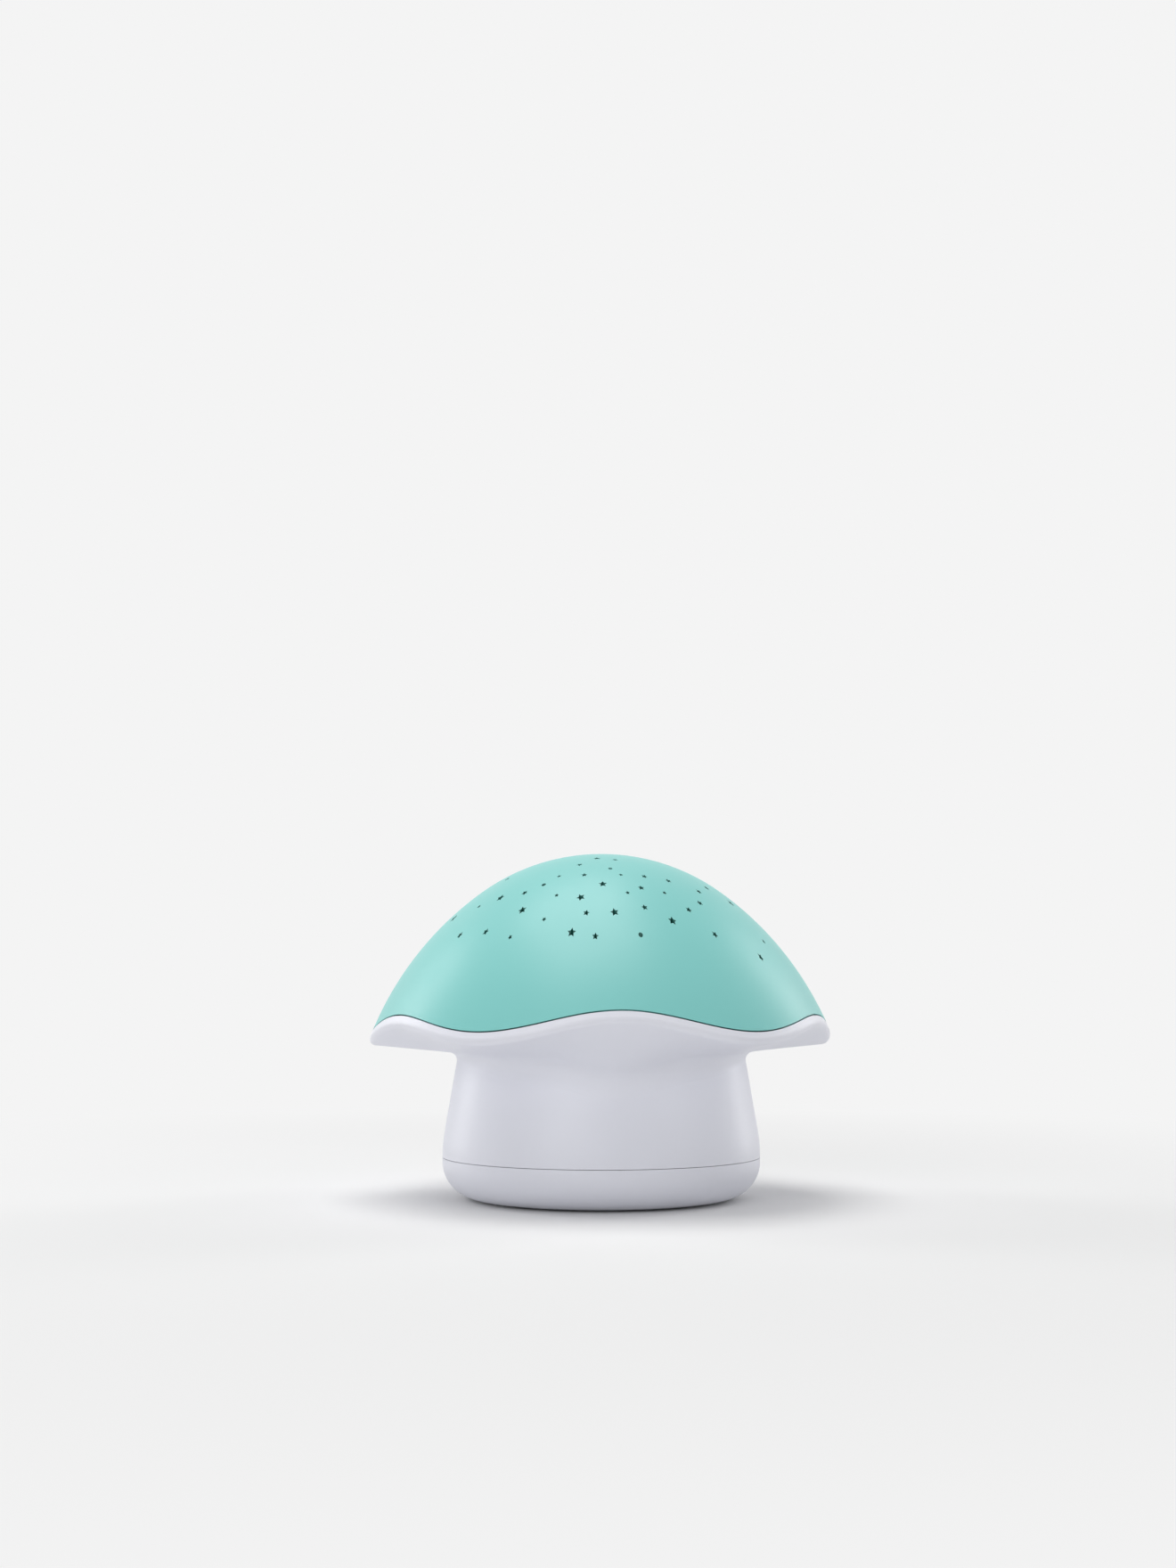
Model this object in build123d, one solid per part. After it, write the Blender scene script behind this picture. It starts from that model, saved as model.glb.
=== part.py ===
from build123d import *
import math
import os

# Star night light projector in the shape of a mushroom: a perforated cap on a wavy
# brim, a hollow stem with the electronics, and a base with the battery bay.
# Millimetres. The origin is the middle of the footprint, +Z is up, and the front
# crest of the brim is at -Y, with the two buttons at the back, at +Y.

# ---- Cap ----
HEIGHT = 135.9           # floor to the top of the cap
CROWN_RADIUS = 80.4      # sphere at the top of the cap
CROWN_ANGLE = 36.0       # half angle of that sphere, degrees
CAP_WALL = 2.2
RIM_RADIUS = 90.0        # radius of the dome at the height of the brim's lip
RIM_Z = 66.0             # that height
EDGE_Z = 70.6            # mean height of the joint between cap and brim
JOINT_GAP = 0.5          # shadow gap in that joint
WAVES = 6                # lobes round the brim
WAVE_POINTS = 8          # points that shape each lobe
WAVE_HEIGHT = 3.5        # rise of a lobe above the mean
LOBE_SHIFT = -0.62       # spreads the lobes at the front and bunches them at the back, radians
SIDE_DROP = 1.4          # the joint is this much lower at the sides than the mean
TONGUE_RADIUS = RIM_RADIUS - 6.0    # ring under the cap that plugs into the brim
TONGUE_WALL = 2.2
TONGUE_DEPTH = 3.2
SNAP_WIDTH = 8.0         # nibs on the tongue that click into the brim
SNAP_HEIGHT = 1.0
SNAP_DEPTH = 0.9
SNAP_DROP = 1.8          # from the joint down to the top of a nib

# ---- Star holes ----
STAR_TIP = {"large": 1.65, "medium": 1.25, "small": 0.9}
STAR_WAIST = 0.5         # inner corners, as a share of the tip radius
DOT_RADIUS = 0.8
# azimuth in degrees from the front towards +X, distance from the axis, size, turn
STAR_HOLES = [
    (-14, 66.6, "large", 3), (0, 59.1, "large", 30), (20, 62.3, "large", 24),
    (-13, 52.5, "large", 36), (-35, 57.9, "large", 10), (-4, 45.5, "large", 18),
    (-52, 51.8, "large", 50), (-6.5, 67.9, "medium", 8), (-10, 59.4, "medium", 0),
    (11.5, 57.0, "medium", 36), (29.5, 57.7, "medium", 15), (-45, 66.0, "medium", 40),
    (34, 67.0, "medium", 5), (13.5, 47.5, "medium", 28), (38, 54.4, "medium", 60),
    (49, 73.8, "medium", 20), (-14, 39.5, "medium", 12), (-40, 49.7, "medium", 33),
    (19, 40.3, "medium", 8), (-57, 66.9, "medium", 25), (31.5, 42.8, "medium", 48),
    (-9, 21.8, "large", 14), (-20.5, 30.3, "medium", 42), (45, 48.5, "medium", 3),
    (64.5, 53.4, "large", 22), (57, 45.9, "medium", 35), (7.5, 67.4, "dot", 0),
    (-34, 68.0, "small", 16), (-24.5, 61.8, "small", 44), (-23.5, 51.4, "small", 5),
    (6.5, 50.2, "small", 27), (23.5, 49.9, "small", 11), (59, 68.8, "small", 30),
    (-28, 40.2, "small", 20), (-33, 45.5, "dot", 0), (6, 39.4, "small", 38),
    (1, 34.3, "dot", 0), (8, 24.0, "medium", 50), (-61.5, 55.5, "small", 9),
    (-76, 60.0, "large", 31), (80, 63.0, "medium", 17), (-70, 40.0, "medium", 2),
]

# ---- Brim and stem ----
WALL = 2.4
BAND_HEIGHT = 1.9        # the brim carries on the dome's line this far below the joint
LIP_RADIUS = 2.2         # and turns under with this radius
NECK_Z = 57.4            # corner between the brim's underside and the stem
NECK_FILLET = 3.0        # radius of that corner at the sides
FRONT_FILLET = 11.5      # and at the front and the back
FUNNEL_DROP = 9.0        # the corner is this much lower under the front crest
FUNNEL_REACH = 12.0      # and the bowl's floor starts to rise this much further out
STEM_LEAN = 9.9          # degrees
BELLY_RADIUS = 62.6      # widest point of the stem, at the seam
BELLY_ARC = 60.0
SEAM_Z = 16.9            # joint between stem and base
SEAM_GAP = 0.2
FLOOR_Z = 56.3           # underside of the floor inside the neck
FLOOR_THICKNESS = 2.2

# ---- Base ----
FOOT_HEIGHT = 0.7        # the pads lift the base this far
BASE_CORNER = 14.2
BASE_FLOOR = 2.7
PLUG_HEIGHT = 3.0        # ring on the base that locates the stem
PLUG_WALL = 2.0
FIT = 0.3                # clearance between moulded pieces
PAD_RADIUS = 5.0
PAD_THICKNESS = 1.7
PAD_CIRCLE = BELLY_RADIUS - BASE_CORNER - PAD_RADIUS - 0.4
PAD_ANGLE = 30.0
POST_CIRCLE = 45.0       # screw posts and towers
POST_RADIUS = 4.2
TOWER_TOP = 24.0
TOWER_END = 2.4

# ---- Screws ----
SCREW_RADIUS = 1.5
SCREW_HEAD_RADIUS = 2.9
SCREW_HEAD = 2.0
SCREW_PLAY = 0.05        # between a screw and the hole it cuts its thread in
SMALL_SCREW_RADIUS = 1.0
SMALL_HEAD_RADIUS = 2.0
SMALL_HEAD = 1.3

# ---- Batteries ----
CELL_RADIUS = 7.25       # AA cells
CELL_LENGTH = 49.3
CELL_CORNER = 0.6
NUB_RADIUS = 2.7
NUB_LENGTH = 1.2
CELL_COUNT = 3
CELL_PITCH = 15.2
CELL_LIFT = 0.7          # above the inside of the door
SPRING_SPACE = 4.6
CONTACT_THICKNESS = 0.5
CONTACT_HEIGHT = 9.0
CONTACT_GAP = 0.1
BAY_WALL = 1.6
DOOR_THICKNESS = 2.2
DOOR_SCREW_HEAD = 1.3
DOOR_SCREW_SINK = 0.2    # the head lies this far inside the door's face
DOOR_LEDGE = 1.2         # rebate that the door closes against
DOOR_CORNER = 3.0
TONGUE_LENGTH = 10.0     # screw tongue at the back of the door
TONGUE_WIDTH = 13.0
TAB_WIDTH = 5.0
TAB_HEIGHT = 2.3
TAB_FOOT = 1.5

# ---- Controls ----
BUTTON_RADIUS = 6.5
BUTTON_SPACING = 22.0
BUTTON_Z = 34.0
BUTTON_PROUD = 0.9
BUTTON_TRAVEL = 1.2
BUTTON_FLANGE = 1.6
BUTTON_POST = 2.5
BOARD_Y = BELLY_RADIUS - 18.6       # front face of the main board
BOARD_THICKNESS = 1.6
BOARD_WIDTH = 50.0
BOARD_HEIGHT = 27.0
BOARD_CORNER = 1.5
BOARD_MARGIN = 3.5       # from its edges to its screws
BOARD_BOSS_RADIUS = 2.8  # bosses that it is screwed to
CONTROLLER_SIZE = (10, 1.75, 6)
TRANSISTOR_SIZE = (2.9, 1.1, 1.6)
TRANSISTOR_X = (-8, -3, 2)
CAPACITOR_SIZE = (2.5, 7)        # radius and length
CAPACITOR_X = 10
CHIP_DROP = 9            # the transistors are this far below the controller
SWITCH_SIZE = 6.2
SWITCH_HEIGHT = 3.5
PLUNGER_RADIUS = 1.7
PLUNGER_PROUD = 1.4
PLUNGER_LENGTH = 3.0
PLUNGER_PLAY = 0.2

# ---- Light ----
DECK_Z = 70.0
DECK_THICKNESS = 1.6
DECK_BOSS_CIRCLE = 40.0
DECK_SCREWS = 3
PEDESTAL_RADIUS = 13.0
PEDESTAL_HEIGHT = 4.5
LED_BOARD_RADIUS = 12.0
LED_BOARD_THICKNESS = 1.2
LED_RADIUS = 2.5
LED_HEIGHT = 5.6
LED_FLANGE = 0.4         # the foot of a lamp stands out this far
LED_FLANGE_HEIGHT = 1.0
LED_CIRCLE = 5.0
LED_COUNT = 3
LEAD_RADIUS = 0.8
LEAD_PITCH = 1.9
LED_LEAD_BEND = 12.0
BATTERY_LEAD_BEND = 3.0

UP = (Align.CENTER, Align.CENTER, Align.MIN)
DOWN = (Align.CENTER, Align.CENTER, Align.MAX)


# ---- Shared outlines ----

def polar(radius, azimuth, z=0.0):
    """A point at an azimuth in degrees, counted from the front towards +X."""
    turn = math.radians(azimuth)
    return Vector(radius * math.sin(turn), -radius * math.cos(turn), z)


def turned(outline):
    """The solid that a closed outline, drawn as (radius, z), sweeps round the Z axis."""
    return revolve(make_face(Plane.XZ * outline), axis=Axis.Z)


def post(radius, low, high):
    return Pos(0, 0, low) * Cylinder(radius, high - low, align=UP)


def ring(inner, outer, low, high):
    return post(outer, low, high) - post(inner, low, high)


# The cap's outline is a sphere on top and a flatter arc, tangent to it, down to the rim.
CROWN_TURN = math.radians(CROWN_ANGLE)
CROWN_Z = HEIGHT - CROWN_RADIUS
CROWN_EDGE = Vector(CROWN_RADIUS * math.sin(CROWN_TURN), CROWN_Z + CROWN_RADIUS * math.cos(CROWN_TURN))
CROWN_NORMAL = Vector(math.sin(CROWN_TURN), math.cos(CROWN_TURN))
FLANK_CHORD = Vector(RIM_RADIUS, RIM_Z) - CROWN_EDGE
FLANK_RADIUS = -FLANK_CHORD.dot(FLANK_CHORD) / (2 * FLANK_CHORD.dot(CROWN_NORMAL))
FLANK_CENTRE = CROWN_EDGE - CROWN_NORMAL * FLANK_RADIUS


def dome_radius(z, inset=0.0):
    """Radius of the flank of the dome at a height."""
    return FLANK_CENTRE.X + math.sqrt((FLANK_RADIUS - inset) ** 2 - (z - FLANK_CENTRE.Y) ** 2)


def dome_height(radius, inset=0.0):
    """Height of the flank of the dome at a radius."""
    return FLANK_CENTRE.Y + math.sqrt((FLANK_RADIUS - inset) ** 2 - (radius - FLANK_CENTRE.X) ** 2)


def dome(inset, foot):
    """All that lies under the dome, inset by a wall, down to a height."""
    flank = FLANK_RADIUS - inset
    foot_angle = math.degrees(math.asin((foot - FLANK_CENTRE.Y) / flank))
    crown = CenterArc((0, CROWN_Z), CROWN_RADIUS - inset, 90 - CROWN_ANGLE, CROWN_ANGLE)
    side = CenterArc((FLANK_CENTRE.X, FLANK_CENTRE.Y), flank, foot_angle, 90 - CROWN_ANGLE - foot_angle)
    closing = Polyline((0, HEIGHT - inset), (0, foot), (dome_radius(foot, inset), foot))
    return turned(crown + side + closing)


# The stem is a cone that bends into the upright belly just above the seam.
STEM_TURN = math.radians(STEM_LEAN)


def stem_radius(z, inset=0.0):
    arc = BELLY_ARC - inset
    rise = min(z - SEAM_Z, arc * math.sin(STEM_TURN))
    bent = BELLY_RADIUS - BELLY_ARC + math.sqrt(arc ** 2 - rise ** 2)
    return bent - (z - SEAM_Z - rise) * math.tan(STEM_TURN)


def stem(inset, top):
    """All that lies inside the stem, inset by a wall, from the seam up to a height."""
    arc = BELLY_ARC - inset
    belly = CenterArc((BELLY_RADIUS - BELLY_ARC, SEAM_Z), arc, 0, STEM_LEAN)
    cone_foot = SEAM_Z + arc * math.sin(STEM_TURN)
    rest = Polyline(
        (stem_radius(cone_foot, inset), cone_foot), (stem_radius(top, inset), top),
        (0, top), (0, SEAM_Z), (stem_radius(SEAM_Z, inset), SEAM_Z))
    return turned(belly + rest)


# ---- The wave in the brim ----

def lobe(azimuth):
    """1 on a crest of the brim and -1 in a trough."""
    turn = math.radians(azimuth)
    return math.cos(WAVES * turn + LOBE_SHIFT * math.sin(turn))


def front_and_back(azimuth):
    """1 at the front and the back, 0 at the sides."""
    return (1 + math.cos(2 * math.radians(azimuth))) / 2


def edge_height(azimuth):
    """Height of the joint between cap and brim."""
    return EDGE_Z + WAVE_HEIGHT * lobe(azimuth) + SIDE_DROP * (2 * front_and_back(azimuth) - 1)


def trough_azimuths():
    """Azimuths half way between two crests."""
    troughs = []
    for i in range(WAVES):
        phase = 2 * math.pi * (i + 0.5)
        turn = phase / WAVES
        for _ in range(8):
            turn = (phase - LOBE_SHIFT * math.sin(turn)) / WAVES
        troughs.append(math.degrees(turn))
    return troughs


def wavy_edge(outline):
    """A closed curve through outline(azimuth), a vector of radius and height."""
    count = WAVES * WAVE_POINTS
    azimuths = [360 * i / count for i in range(count)]
    places = [outline(azimuth) for azimuth in azimuths]
    points = [polar(place.X, azimuth, place.Y) for azimuth, place in zip(azimuths, places)]
    return Edge.make_spline(points, periodic=True, parameters=[i / count for i in range(count + 1)])


def wavy_ring(inner, outer, drop, depth):
    """A ring whose top follows the joint a little below it, with flat walls down or up from it."""
    rims = [wavy_edge(lambda a, r=r: Vector(r, edge_height(a) - drop)) for r in (inner, outer)]
    top = Face.make_surface_from_curves(*rims)
    return extrude(top, amount=abs(depth), dir=(0, 0, math.copysign(1, depth)))


# ---- Cap ----

def star_hole(azimuth, radius, size, turn):
    """A hole through the cap, straight up as the mould draws it."""
    if size == "dot":
        tool = post(DOT_RADIUS, EDGE_Z, HEIGHT)
    else:
        reach = [STAR_TIP[size], STAR_TIP[size] * STAR_WAIST] * 5
        tips = [Vector(r, 0).rotate(Axis.Z, 36 * i) for i, r in enumerate(reach)]
        tool = Pos(0, 0, EDGE_Z) * extrude(make_face(Polyline(*tips, close=True)), HEIGHT - EDGE_Z)
    return Pos(polar(radius, azimuth)) * Rot(0, 0, turn) * tool


def snap_nib(azimuth, grow):
    """A nib on the tongue, or with grow the pocket in the brim that it clicks into."""
    top = edge_height(azimuth) - SNAP_DROP + grow
    inner = TONGUE_RADIUS - TONGUE_WALL / 2
    depth = TONGUE_WALL / 2 + SNAP_DEPTH + grow
    width, height = SNAP_WIDTH + 2 * grow, SNAP_HEIGHT + 2 * grow
    block = Box(depth, width, height, align=(Align.MIN, Align.CENTER, Align.MAX))
    return Rot(0, 0, azimuth - 90) * Pos(inner, 0, top) * block


def tongue():
    """The ring inside the cap's edge that plugs into the brim, cut to the same wave."""
    inner = TONGUE_RADIUS - TONGUE_WALL
    foot = EDGE_Z - WAVE_HEIGHT - SIDE_DROP - TONGUE_DEPTH - FIT
    plug = ring(inner, TONGUE_RADIUS, foot, dome_height(inner, CAP_WALL))
    plug -= wavy_ring(inner - TONGUE_WALL, TONGUE_RADIUS + TONGUE_WALL, TONGUE_DEPTH, 2 * (foot - EDGE_Z))
    return plug + [snap_nib(a, 0) for a in trough_azimuths()]


def star_cap():
    foot = EDGE_Z - 2 * WAVE_HEIGHT
    shell = dome(0, foot) - dome(CAP_WALL, foot)
    skirt = wavy_ring(TONGUE_RADIUS - TONGUE_WALL / 2, RIM_RADIUS + 2 * CAP_WALL, 0, 2 * (foot - EDGE_Z))
    holes = [
        star_hole(azimuth + side, radius, size, turn + side / 5)
        for azimuth, radius, size, turn in STAR_HOLES for side in (0, 180)]
    return shell - skirt + tongue() - holes


# ---- Stem and brim ----

def ray(angle):
    """Unit step in the plane of a section, at an angle in degrees: 0 is outwards and 90 is up."""
    return Vector(math.cos(math.radians(angle)), math.sin(math.radians(angle)))


def slope_of(step):
    """Angle of a step in the plane of a section, in degrees."""
    return math.degrees(math.atan2(step.Y, step.X))


def funnel(azimuth):
    """How far the brim's underside runs down into a funnel: 1 under the front crest, 0 in a trough."""
    return (1 + lobe(azimuth)) / 2 * front_and_back(azimuth) ** 2


def lip_start(azimuth):
    """The lower end of the band, and the angle that the surface faces there."""
    z = edge_height(azimuth) - JOINT_GAP - BAND_HEIGHT
    end = Vector(dome_radius(z), z)
    return end, slope_of(end - FLANK_CENTRE)


def lip_centre(azimuth):
    """Centre of the lip's rounding, which starts where the band ends."""
    end, facing = lip_start(azimuth)
    return end - ray(facing) * LIP_RADIUS


def neck(azimuth):
    """The corner where underside and stem would meet, and the underside's slope to the lip."""
    z = NECK_Z - FUNNEL_DROP * funnel(azimuth)
    corner = Vector(stem_radius(z), z)
    reach = lip_centre(azimuth) - corner
    return corner, slope_of(reach) - math.degrees(math.asin(LIP_RADIUS / reach.length))


def fillet_centre(azimuth):
    """Centre and radius of the fillet in that corner."""
    corner, slope = neck(azimuth)
    radius = NECK_FILLET + (FRONT_FILLET - NECK_FILLET) * front_and_back(azimuth)
    downwards = STEM_LEAN - 90
    half = math.radians(slope - downwards) / 2
    return corner + ray((slope + downwards) / 2) * (radius / math.sin(half)), radius


def fillet_section(share):
    """A curve round the fillet: share 0 where it leaves the stem, 1 where it meets the underside."""
    def outline(azimuth):
        centre, radius = fillet_centre(azimuth)
        first, last = 180 + STEM_LEAN, 90 + neck(azimuth)[1]
        return centre + ray(first + share * (last - first)) * radius
    return wavy_edge(outline)


def lip_section(share):
    """A curve round the lip: share 0 where it meets the underside, 1 at the lower end of the band."""
    def outline(azimuth):
        first, last = neck(azimuth)[1] - 90, lip_start(azimuth)[1]
        return lip_centre(azimuth) + ray(first + share * (last - first)) * LIP_RADIUS
    return wavy_edge(outline)


def flat_section(radius, z):
    """A level circle, in the same number of pieces as the wavy curves."""
    return wavy_edge(lambda a: Vector(radius, z))


def joint_section(radius=None):
    """The top edge of the brim, on the dome's surface or at a given radius."""
    def outline(azimuth):
        top = edge_height(azimuth) - JOINT_GAP
        return Vector(radius or dome_radius(top), top)
    return wavy_edge(outline)


def bowl_floor(radius, azimuth):
    """The bowl's floor inside the brim at a radius, a wall above the underside."""
    corner, slope = neck(azimuth)
    turn = math.radians(slope)
    return Vector(radius, corner.Y + (radius - corner.X) * math.tan(turn) + WALL / math.cos(turn))


def cavity_radius(z, azimuth):
    """Radius at a height of the hollow in the stem, a wall inside its skin and the brim's underside."""
    centre, radius = fillet_centre(azimuth)
    slope = neck(azimuth)[1]
    bend = radius + WALL
    bend_foot, bend_end = centre + ray(180 + STEM_LEAN) * bend, centre + ray(90 + slope) * bend
    if z <= bend_foot.Y:
        return stem_radius(z, WALL)
    if z <= bend_end.Y:
        return centre.X - math.sqrt(bend ** 2 - (z - centre.Y) ** 2)
    return bend_end.X + (z - bend_end.Y) / math.tan(math.radians(slope))


def sewn(*bands):
    """A solid with flat ends, its sides lofted band by band through closed curves."""
    faces = [Face(Wire([bands[0][0]])), Face(Wire([bands[-1][-1]]))]
    for band in bands:
        faces += Shell.make_loft([Wire([edge]) for edge in band], ruled=len(band) == 2).faces()
    return Part() + Solid(Shell(faces))


BOWL_RADIUS = stem_radius(NECK_Z)      # the bowl's floor is level inside this radius
CONE_FOOT = SEAM_Z + BELLY_ARC * math.sin(STEM_TURN)
CONE_TOP = NECK_Z - FUNNEL_DROP - FRONT_FILLET


def stem_sections(inset):
    """Level curves up the side of the stem, to where the funnels start."""
    levels = SEAM_Z, (SEAM_Z + CONE_FOOT) / 2, CONE_FOOT, CONE_TOP
    return [flat_section(stem_radius(z, inset), z) for z in levels]


def skin():
    """Solid of the stem and brim, with the bowl above, and filled below the bowl's floor."""
    stem_side = stem_sections(0)
    fillet_band = [fillet_section(i / 4) for i in range(5)]
    lip = [lip_section(i / 4) for i in range(5)]
    outer_edge = joint_section()
    rim = TONGUE_RADIUS + FIT
    bowl = [
        joint_section(rim), wavy_edge(lambda a: bowl_floor(rim, a)),
        wavy_edge(lambda a: bowl_floor(BOWL_RADIUS + WALL + FUNNEL_REACH * funnel(a), a)),
        flat_section(BOWL_RADIUS, FLOOR_Z + FLOOR_THICKNESS)]
    return sewn(
        stem_side + fillet_band[:1], fillet_band, [fillet_band[-1], lip[0]], lip,
        [lip[-1], outer_edge], [outer_edge, bowl[0]], *zip(bowl, bowl[1:]))


def cavity():
    """The hollow in the stem, under the bowl's floor."""
    levels = [CONE_TOP + i / 5 * (FLOOR_Z - CONE_TOP) for i in range(6)]
    upper = [wavy_edge(lambda a, z=z: Vector(cavity_radius(z, a), z)) for z in levels]
    return sewn(stem_sections(WALL)[:3] + upper[:1], upper)


def around(radius, first, count):
    """Points evenly spaced round the axis."""
    return [polar(radius, first + 360 * i / count) for i in range(count)]


POST_SPOTS = around(POST_CIRCLE, 45, 4)
DECK_SPOTS = around(DECK_BOSS_CIRCLE, 0, DECK_SCREWS)
SCREW_REACH = 9.0        # length of a screw in the piece that it bites into
SMALL_REACH = 5.0


def spots(points, shape):
    return [Pos(p) * shape for p in points]


def button_places():
    return {"power": -BUTTON_SPACING / 2, "colour": BUTTON_SPACING / 2}


def along_y(x, z, radius, start, end):
    """A round bar parallel to the Y axis."""
    return Pos(x, start, z) * Rot(-90, 0, 0) * Cylinder(radius, end - start, align=UP)


BOARD_CORNERS = [
    (side * (BOARD_WIDTH / 2 - BOARD_MARGIN), BUTTON_Z + end * (BOARD_HEIGHT / 2 - BOARD_MARGIN))
    for side in (-1, 1) for end in (-1, 1)]
BOARD_BACK = BOARD_Y + BOARD_THICKNESS


def stem_housing():
    shell = skin() - cavity()
    shell -= [snap_nib(a, FIT) for a in trough_azimuths()]
    shell -= [along_y(x, BUTTON_Z, BUTTON_RADIUS + FIT, 0, RIM_RADIUS) for x in button_places().values()]
    shell -= post(LEAD_PITCH * 2 + LEAD_RADIUS, 0, HEIGHT)
    # posts for the screws from below, bosses for the deck, and bosses for the main board
    shell += spots(POST_SPOTS, post(POST_RADIUS, TOWER_TOP, FLOOR_Z + FLOOR_THICKNESS / 2))
    shell += spots(DECK_SPOTS, post(POST_RADIUS - 1, FLOOR_Z + FLOOR_THICKNESS / 2, DECK_Z))
    inside = stem(WALL / 2, FLOOR_Z)
    shell += [along_y(x, z, BOARD_BOSS_RADIUS, BOARD_BACK, RIM_RADIUS) & inside for x, z in BOARD_CORNERS]
    pilot = SCREW_RADIUS + SCREW_PLAY
    shell -= spots(POST_SPOTS, post(pilot, TOWER_TOP - 1, TOWER_TOP + SCREW_REACH + 1))
    shell -= spots(DECK_SPOTS, post(pilot, DECK_Z - SCREW_REACH / 2 - 1, DECK_Z + 1))
    small_pilot = SMALL_SCREW_RADIUS + SCREW_PLAY
    pilot_end = BOARD_BACK + SMALL_REACH
    return shell - [along_y(x, z, small_pilot, BOARD_BACK - 1, pilot_end) for x, z in BOARD_CORNERS]


# ---- Base and battery bay ----

BAY_WIDTH = (CELL_COUNT - 1) * CELL_PITCH + 2 * CELL_RADIUS + 2 * FIT
BAY_LENGTH = CELL_LENGTH + NUB_LENGTH + SPRING_SPACE + 2 * CONTACT_THICKNESS + CONTACT_GAP
DOOR_TOP = FOOT_HEIGHT + DOOR_THICKNESS
FLOOR_TOP = FOOT_HEIGHT + BASE_FLOOR
CELL_Z = FLOOR_TOP + CELL_LIFT + CELL_RADIUS
BAY_TOP = CELL_Z + CELL_RADIUS + FIT
DOOR_SCREW_SEAT = FOOT_HEIGHT + DOOR_SCREW_SINK + DOOR_SCREW_HEAD
DOOR_SCREW_Y = BAY_LENGTH / 2 + DOOR_LEDGE + TONGUE_LENGTH / 2
LEAD_EXIT_Z = CELL_Z + CONTACT_HEIGHT / 2 + CONTACT_GAP + LEAD_RADIUS    # just over the plates
TAB_SPOTS = [(i - CELL_COUNT / 2) * CELL_PITCH for i in range(1, CELL_COUNT)]
PAD_SPOTS = around(PAD_CIRCLE, 90 - PAD_ANGLE, 2) + around(PAD_CIRCLE, 90 + PAD_ANGLE, 2)


def base_section(inset):
    """The base up to the seam, inset by a wall."""
    middle, level = BELLY_RADIUS - BASE_CORNER, FOOT_HEIGHT + BASE_CORNER
    corner = CenterArc((middle, level), BASE_CORNER - inset, -90, 90)
    rest = Polyline(
        (BELLY_RADIUS - inset, level), (BELLY_RADIUS - inset, SEAM_Z - SEAM_GAP),
        (0, SEAM_Z - SEAM_GAP), (0, FOOT_HEIGHT + inset), (middle, FOOT_HEIGHT + inset))
    return turned(corner + rest)


def door_outline(grow):
    """The door seen from below, with its screw tongue at the back."""
    length = BAY_LENGTH + 2 * DOOR_LEDGE + 2 * grow
    plate = Rectangle(BAY_WIDTH + 2 * DOOR_LEDGE + 2 * grow, length)
    tongue = Pos(0, length / 2) * Rectangle(TONGUE_WIDTH + 2 * grow, 2 * (TONGUE_LENGTH + FIT))
    outline = plate + tongue
    return fillet(outline.vertices(), DOOR_CORNER)


def box(width, length, low, high, x=0.0, y=0.0):
    return Pos(x, y, low) * Box(width, length, high - low, align=UP)


def base_tray():
    tray = base_section(0) - base_section(BASE_FLOOR)
    plug_outer = BELLY_RADIUS - WALL - FIT
    plug_foot = SEAM_Z - 2 * PLUG_WALL
    tray += ring(plug_outer - PLUG_WALL, plug_outer, plug_foot, SEAM_Z + PLUG_HEIGHT)
    tray += ring(plug_outer - PLUG_WALL, BELLY_RADIUS - BASE_FLOOR / 2, plug_foot, SEAM_Z - SEAM_GAP)
    bay_outer = 2 * BAY_WALL
    tray += box(BAY_WIDTH + bay_outer, BAY_LENGTH + bay_outer, DOOR_TOP, BAY_TOP + BAY_WALL)
    tray += spots(POST_SPOTS, post(POST_RADIUS, DOOR_TOP, TOWER_TOP - SEAM_GAP))
    tray += Pos(0, DOOR_SCREW_Y) * post(POST_RADIUS - 0.4, DOOR_TOP, FLOOR_TOP + SCREW_REACH)
    tray -= box(BAY_WIDTH, BAY_LENGTH, 0, BAY_TOP)
    tray -= extrude(door_outline(FIT), DOOR_TOP)
    head_room = SCREW_HEAD_RADIUS + FIT
    tray -= spots(POST_SPOTS, post(head_room, 0, TOWER_TOP - TOWER_END))
    tray -= spots(POST_SPOTS, post(SCREW_RADIUS + FIT, 0, TOWER_TOP))
    tray -= Pos(0, DOOR_SCREW_Y) * post(SCREW_RADIUS + 1.5 * FIT, 0, FLOOR_TOP + SCREW_REACH - 1)
    slot_y = -(BAY_LENGTH + BAY_WALL) / 2
    slot_top = DOOR_TOP + TAB_HEIGHT + 2 * FIT
    tray -= [box(TAB_WIDTH + 2 * FIT, 2 * BAY_WALL, FLOOR_TOP, slot_top, x, slot_y) for x in TAB_SPOTS]
    tray -= spots(PAD_SPOTS, post(PAD_RADIUS + FIT / 3, 0, PAD_THICKNESS))
    room = LEAD_RADIUS + FIT
    low, high = LEAD_EXIT_Z - room, LEAD_EXIT_Z + room
    return tray - box(LEAD_PITCH + 2 * room, 2 * BAY_WALL, low, high, 0, -slot_y)


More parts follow.
